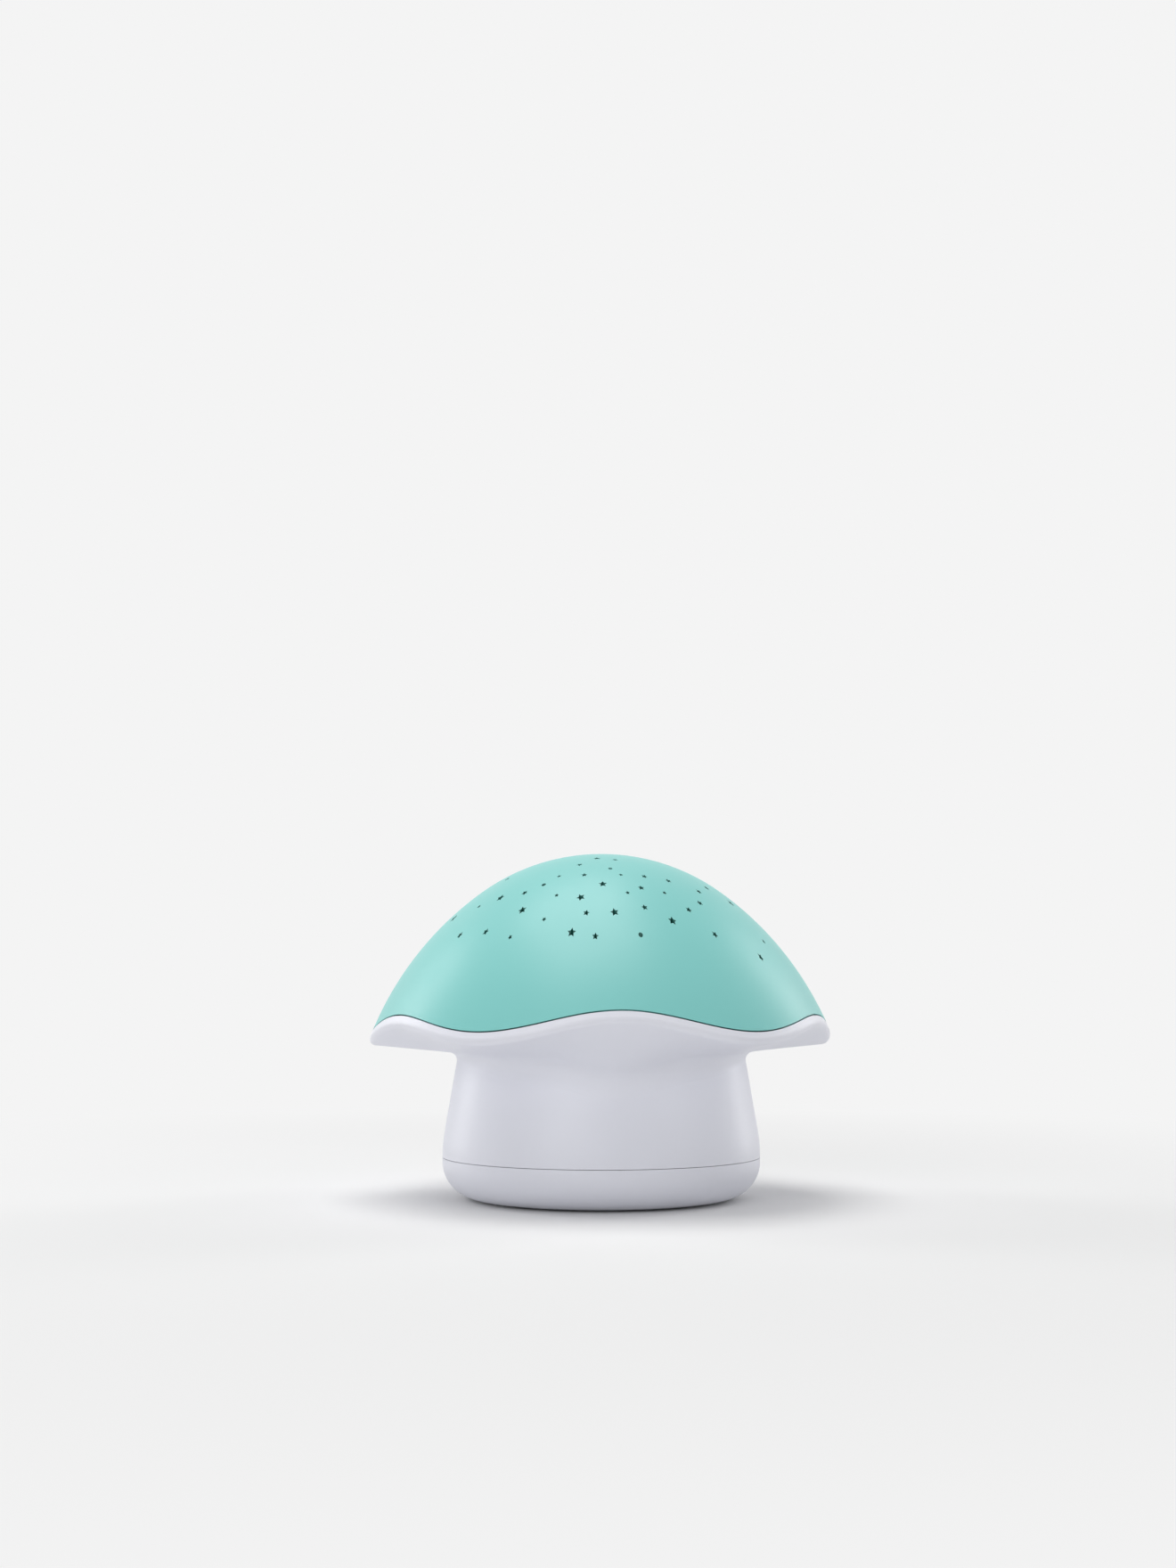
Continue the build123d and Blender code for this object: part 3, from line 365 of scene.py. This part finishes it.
def circuit_print():
    """Node group: green solder mask over fine traces, with small tinned pads."""
    group, given, made = node_group("circuit_print", {
        "Mask Colour": (0.01, 0.12, 0.05, 1), "Trace Colour": (0.02, 0.22, 0.09, 1),
        "Pad Colour": (0.6, 0.6, 0.57, 1)})
    traces = group.nodes.new("ShaderNodeTexBrick")
    traces.offset = 0.37
    for socket, value in (
            ("Vector", given["Place"]), ("Color1", (0, 0, 0, 1)), ("Color2", (0, 0, 0, 1)),
            ("Mortar", (1, 1, 1, 1)), ("Scale", 1), ("Mortar Size", 0.00022), ("Mortar Smooth", 0.1),
            ("Brick Width", 0.0061), ("Row Height", 0.0019)):
        feed(group, traces.inputs[socket], value)
    vias = group.nodes.new("ShaderNodeTexVoronoi")
    vias.inputs["Scale"].default_value = 320
    feed(group, vias.inputs["Vector"], given["Place"])
    tinned = math_step(group, "LESS_THAN", vias.outputs["Distance"], 0.13)
    masked = blended(group, traces.outputs["Fac"], given["Mask Colour"], given["Trace Colour"])
    haze = noise(group, given["Place"], 400, 3)
    feed(group, made["Colour"], blended(group, tinned, masked, given["Pad Colour"]))
    feed(group, made["Roughness"], ranged(group, haze, 0, 1, 0.24, 0.4))
    feed(group, made["Normal"], raised_by(group, traces.outputs["Fac"], 0.00003))
    return group


print_group = circuit_print()
dress("main_board", finish("main_board_print", print_group, {}, turn=(math.radians(90), 0, 0)))

# ---- Chips and switches ----
# A controller and three transistors in black epoxy, and a capacitor in a shrunk sleeve that
# stands off the board. The tact switches are black nylon boxes with white acetal plungers.
can_width = 0.005
gap_beside_can = 0.0003
can_top_rim = 0.00015
chips_low, chips_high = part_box("board_chips")


def paint_capacitor(tree, epoxy):
    """A blue sleeve with a bare end, on the chip that reaches furthest right and furthest out."""
    x, y, _ = split(tree, own_place(tree))
    on_can = math_step(tree, "GREATER_THAN", x, chips_high.x - can_width - gap_beside_can)
    on_top = math_step(tree, "LESS_THAN", y, chips_low.y + can_top_rim)
    sleeved = blended(tree, on_can, epoxy, (0.02, 0.035, 0.12, 1))
    return blended(tree, on_top, sleeved, (0.55, 0.55, 0.57, 1))


chip_epoxy = plastic(
    "chip_epoxy", (0.022, 0.022, 0.024), sheen=0.55, grain_size=0.0003, grain_depth=0.00002)
dress("board_chips", recolour(chip_epoxy, paint_capacitor))
dress("tact_switches", plastic("switch_nylon", (0.03, 0.03, 0.032), sheen=0.5))
acetal = plastic("acetal", (0.72, 0.72, 0.70), sheen=0.34)
dress("power_plunger", acetal)
dress("colour_plunger", acetal)


def new_piece(name, mesh, body, material):
    """Makes an object of a finished mesh, with its material, and says what it moves with."""
    bmesh.ops.recalc_face_normals(mesh, faces=mesh.faces)
    piece = bpy.data.objects.new(name, bpy.data.meshes.new(name))
    mesh.to_mesh(piece.data)
    mesh.free()
    bpy.context.collection.objects.link(piece)
    piece.data.materials.append(material)
    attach(piece, body)


def add_block(mesh, centre, size, corner=0.0):
    """A box, with its edges rounded off by a corner radius."""
    made = bmesh.ops.create_cube(mesh, matrix=Matrix.Translation(centre) @ Matrix.Diagonal((*size, 1)))
    if corner:
        edges = list({edge for vert in made["verts"] for edge in vert.link_edges})
        bmesh.ops.bevel(
            mesh, geom=edges, offset=corner, segments=2, profile=0.5, affect="EDGES", material=-1)


# The controller's gull-wing legs, eight along each long side, tinned and soldered down. Each
# has a shoulder, a drop and a foot, given as how far its middle is off the board and out
# from the controller's edge, and then its depth and its length.
board_low, board_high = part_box("main_board")
board_front = board_low.y
board_middle = (board_low.z + board_high.z) / 2
controller_height = 0.006
legs_a_side = 8
leg_pitch = 0.00117
leg_width = 0.0004
leg_sheet = 0.00015
leg_bends = (
    (0.0009, 0.0003, leg_sheet, 0.0008),
    (0.0005, 0.0007, 0.0009, leg_sheet),
    (0.0001, 0.0011, leg_sheet, 0.0009))
leg_mesh = bmesh.new()
for side in (-1, 1):
    for leg in range(legs_a_side):
        x = (leg - (legs_a_side - 1) / 2) * leg_pitch
        for off_board, out, depth, length in leg_bends:
            z = board_middle + side * (controller_height / 2 + out)
            add_block(leg_mesh, (x, board_front - off_board, z), (leg_width, depth, length))
new_piece("controller_legs", leg_mesh, "projector", nickel)

# ---- Screws ----
# Zinc-plated steel screws with a cross recess: four big ones hold the stem to the base,
# three the deck, and small ones the boards. The battery door has a captive one.
zinc = metal("zinc", (0.62, 0.63, 0.66), 0.34)
for screws in ("housing_screws", "deck_screws", "board_screws", "led_board_screws", "door_screw"):
    dress(screws, zinc)

# ---- Stem and brim ----
# The stem and the wavy brim are one moulding in the same cool white as the base, which it
# meets at a fine seam.
dress("stem_housing", white_plastic)

# ---- Buttons ----
# Two round mint buttons sit at the back of the stem, with a white pad-printed mark on
# each: a power mark, and three dots for the colours of the light.
mint = (0.215, 0.60, 0.57)
ink_depth = 0.0002
mint_plastic = plastic("mint_plastic", mint, sheen=0.4)
dress("power_button", mint_plastic)
dress("colour_button", mint_plastic)
print_white = plastic(
    "print_white", (0.82, 0.83, 0.84), sheen=0.5, grain_size=0.0002, grain_depth=0.000004)


def print_on(button, name, mesh):
    """Lays a mark, drawn flat about the origin, on the middle of a button's face."""
    low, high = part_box(button)
    behind = Vector(((low.x + high.x) / 2, high.y + 0.01, (low.z + high.z) / 2))
    _, spot, outwards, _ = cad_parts[button].ray_cast(behind, (0, -1, 0))
    across = Vector((0, 0, 1)).cross(outwards).normalized()
    upwards = outwards.cross(across)
    facing = Matrix((across, upwards, outwards)).transposed().to_4x4()
    bmesh.ops.transform(mesh, matrix=Matrix.Translation(spot) @ facing, verts=mesh.verts)
    new_piece(name, mesh, button, print_white)


# The power mark is a ring, open at the top, with a bar in the opening. The ring's section is
# a unit square, stretched to the stroke, stood up, and swept round from one end to the other.
stroke_width = 0.00055
ring_radius = 0.0022
ring_opening = math.radians(64)
bar_length = 0.0022
bar_middle = 0.0019
ring_section = (
    Matrix.Rotation((math.pi + ring_opening) / 2, 4, "Z") @ Matrix.Translation((ring_radius, 0, 0))
    @ Matrix.Rotation(math.pi / 2, 4, "X") @ Matrix.Diagonal((stroke_width, ink_depth, 1, 1))
    @ Matrix.Rotation(math.pi / 4, 4, "Z"))
power_mesh = bmesh.new()
bmesh.ops.create_circle(power_mesh, segments=4, radius=math.sqrt(0.5), matrix=ring_section)
bmesh.ops.spin(
    power_mesh, geom=power_mesh.verts[:] + power_mesh.edges[:], cent=(0, 0, 0), axis=(0, 0, 1),
    angle=2 * math.pi - ring_opening, steps=40, use_duplicate=False)
open_ends = [edge for edge in power_mesh.edges if edge.is_boundary]
bmesh.ops.holes_fill(power_mesh, edges=open_ends, sides=4)
add_block(power_mesh, (0, bar_middle, 0), (stroke_width, bar_length, ink_depth))
print_on("power_button", "power_mark", power_mesh)

dot_radius = 0.00085
dot_circle = 0.0016
dots_mesh = bmesh.new()
for turn in (90, 210, 330):
    direction = Vector((math.cos(math.radians(turn)), math.sin(math.radians(turn)), 0))
    bmesh.ops.create_cone(
        dots_mesh, cap_ends=True, segments=32, radius1=dot_radius, radius2=dot_radius, depth=ink_depth,
        matrix=Matrix.Translation(dot_circle * direction))
print_on("colour_button", "colour_mark", dots_mesh)

# ---- Light ----
# A black deck keeps stray light off the star holes. On a collar in its middle stands the
# lamp board with three round-topped lamps of clear epoxy.
green_pvc = (0.03, 0.28, 0.05)
blue_pvc = (0.03, 0.08, 0.5)
dress("led_leads", row_of_wires("led_lead_pvc", [green_pvc, blue_pvc, red_pvc, black_pvc]))
dress("light_deck", plastic("deck_plastic", (0.02, 0.021, 0.023), sheen=0.6, grain_size=0.0006))
dress("led_pedestal", plastic("pedestal_plastic", (0.74, 0.74, 0.75), sheen=0.45))
dress("led_board", finish("led_board_print", print_group, {
    "Mask Colour": (0.75, 0.76, 0.76, 1), "Trace Colour": (0.85, 0.85, 0.83, 1)}))
clear_epoxy = plastic("clear_epoxy", (0.93, 0.95, 0.96), sheen=0.1, grain_depth=0.000002)
clear_epoxy.node_tree.nodes["Principled BSDF"].inputs["Transmission Weight"].default_value = 1.0
clear_epoxy.node_tree.nodes["Principled BSDF"].inputs["IOR"].default_value = 1.52
dress("leds", clear_epoxy)

# Inside each lamp a cup on one leg carries the yellow chip, and the other leg ends beside it.
lamp_circle = 0.005
lamp_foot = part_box("leds")[0].z
lamp_leg_width = 0.0005
cup_x = -0.0004
cup_foot = 0.0022
cup_height = 0.0006
cup_foot_radius = 0.0005
cup_rim_radius = 0.0009
beside_x = 0.0013
beside_height = 0.0030
phosphor_width = 0.0006
phosphor_height = 0.0002


def add_post(mesh, foot, width, height):
    """A square post that stands on a point."""
    add_block(mesh, foot + Vector((0, 0, height / 2)), (width, width, height))


legs_mesh = bmesh.new()
chips_mesh = bmesh.new()
for turn in (0, 120, 240):
    direction = Vector((math.sin(math.radians(turn)), -math.cos(math.radians(turn)), 0))
    lamp = lamp_circle * direction + Vector((0, 0, lamp_foot))
    cup_middle = lamp + Vector((cup_x, 0, cup_foot + cup_height / 2))
    chip_foot = lamp + Vector((cup_x, 0, cup_foot + cup_height))
    add_post(legs_mesh, lamp + Vector((cup_x, 0, 0)), lamp_leg_width, cup_foot)
    add_post(legs_mesh, lamp + Vector((beside_x, 0, 0)), lamp_leg_width, beside_height)
    bmesh.ops.create_cone(
        legs_mesh, cap_ends=True, segments=24, radius1=cup_foot_radius, radius2=cup_rim_radius,
        depth=cup_height, matrix=Matrix.Translation(cup_middle))
    add_post(chips_mesh, chip_foot, phosphor_width, phosphor_height)
new_piece("lamp_legs", legs_mesh, "projector", nickel)
phosphor = plastic("chip_phosphor", (0.80, 0.62, 0.12), sheen=0.5)
new_piece("lamp_chips", chips_mesh, "projector", phosphor)

# Solder holds the wires to the front of the main board and to the underside of the lamp board.
solder_radius = 0.0009
solder_height = 0.0005
solder = metal("solder", (0.66, 0.67, 0.69), 0.22)
solder_mesh = bmesh.new()


def solder_row(wires, y, z, drop_size):
    """A drop of solder at the end of each wire of a row."""
    for wire in range(wires):
        place = Vector(((wire - (wires - 1) / 2) * wire_pitch, y, z))
        bmesh.ops.create_uvsphere(
            solder_mesh, u_segments=16, v_segments=10, radius=1,
            matrix=Matrix.Translation(place) @ Matrix.Diagonal((*drop_size, 1)))


on_board = (solder_radius, solder_height, solder_radius)
under_lamps = (solder_radius, solder_radius, solder_height)
solder_row(4, board_front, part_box("led_leads")[0].z + wire_radius, on_board)
solder_row(2, board_front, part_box("battery_leads")[1].z - wire_radius, on_board)
solder_row(4, 0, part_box("led_board")[0].z, under_lamps)
for face in solder_mesh.faces:
    face.smooth = True
new_piece("solder_joints", solder_mesh, "projector", solder)

# ---- Cap ----
# One thin dome of the buttons' mint plastic snaps into the brim by a ring inside its edge.
# The mould draws its star holes straight up. Their upright walls are painted with shade, a
# deeper green that fades towards the crown, where more light falls in.
edge_height = 0.078
upright_within = 0.02
# Between these heights the painted shade on the hole walls falls to half its strength.
hole_shade_fade_start = 0.120
hole_shade_fade_end = 0.131


def paint_hole_shade(tree, skin):
    """Paints shade on the upright walls of the holes, which all lie above the cap's own upright edge.
    """
    facing_up = split(tree, tree.nodes.new("ShaderNodeNewGeometry").outputs["True Normal"])[2]
    height = split(tree, own_place(tree))[2]
    upright = math_step(tree, "COMPARE", facing_up, 0, upright_within)
    above_edge = math_step(tree, "GREATER_THAN", height, edge_height)
    in_hole = math_step(tree, "MULTIPLY", upright, above_edge)
    strength = math_step(tree, "MULTIPLY", in_hole, ranged(tree, height, hole_shade_fade_start, hole_shade_fade_end, 1.0, 0.5))
    # Painted shade: the hole walls are mixed towards this deep green, less so near the crown.
    return blended(tree, strength, skin, (0.015, 0.13, 0.105, 1))


dress("star_cap", recolour(plastic("cap_plastic_hole_shade", mint, sheen=0.4), paint_hole_shade))

# ---- Batteries ----
# Three size AA cells in a printed sleeve, steel at both ends, lying side by side with
# their nubs to alternate ends.
cell_pitch = 0.0152
cell_length = 0.0493
nub_length = 0.0012
bare_end = 0.00045
cell_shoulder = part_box("battery_cells")[1].y - nub_length
cell_foot = cell_shoulder - cell_length
sleeve_grey = (0.66, 0.67, 0.68)
ring_grey = (0.05, 0.06, 0.08)


def paint_sleeve(tree, steel):
    """A pale sleeve with one dark ring near the nub, over all but the ends, which stay metal."""
    x, y, _ = split(tree, own_place(tree))
    in_middle = math_step(tree, "LESS_THAN", math_step(tree, "ABSOLUTE", x), cell_pitch / 2)
    nub_way = math_step(tree, "SUBTRACT", math_step(tree, "MULTIPLY", in_middle, 2), 1)
    along = math_step(tree, "MULTIPLY", y, nub_way)
    from_middle = math_step(tree, "SUBTRACT", along, (cell_foot + cell_shoulder) / 2)
    in_sleeve = math_step(
        tree, "LESS_THAN", math_step(tree, "ABSOLUTE", from_middle), cell_length / 2 - bare_end)
    bare = math_step(tree, "SUBTRACT", 1, in_sleeve)
    feed(tree, tree.nodes["Principled BSDF"].inputs["Metallic"], bare)
    sleeve = bands(
        tree, ranged(tree, along, cell_foot, cell_shoulder),
        [(0, sleeve_grey), (0.80, ring_grey), (0.88, sleeve_grey)])
    return blended(tree, in_sleeve, steel, sleeve)


dress("battery_cells", recolour(metal("cell_sleeve", (0.62, 0.62, 0.64), 0.3), paint_sleeve))

# ---- Battery door ----
# The door is the same white moulding, hooked in at the front of the bay and held by its
# captive screw. Raised signs inside it show which way each cell lies.
door_thickness = 0.0022
door_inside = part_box("battery_door")[0].z + door_thickness
sign_length = 0.0044
sign_width = 0.0009
sign_height = 0.0004
sign_corner = 0.0001
sign_y = 0.017
dress("battery_door", white_plastic)
sign_mesh = bmesh.new()
for cell in (-1, 0, 1):
    nub_y = sign_y if cell == 0 else -sign_y
    plus = (cell * cell_pitch, nub_y, door_inside)
    minus = (cell * cell_pitch, -nub_y, door_inside)
    add_block(sign_mesh, plus, (sign_length, sign_width, sign_height), sign_corner)
    add_block(sign_mesh, plus, (sign_width, sign_length, sign_height), sign_corner)
    add_block(sign_mesh, minus, (sign_length, sign_width, sign_height), sign_corner)
new_piece("polarity_signs", sign_mesh, "battery_door", white_plastic)

# ---- Foot pads ----
# Four soft grey elastomer pads are glued into recesses under the base, so that the lamp
# doesn't slide.
pad_elastomer = plastic(
    "pad_elastomer", (0.42, 0.43, 0.45), sheen=0.8, grain_size=0.0005, grain_depth=0.00004)
dress("foot_pads", pad_elastomer)
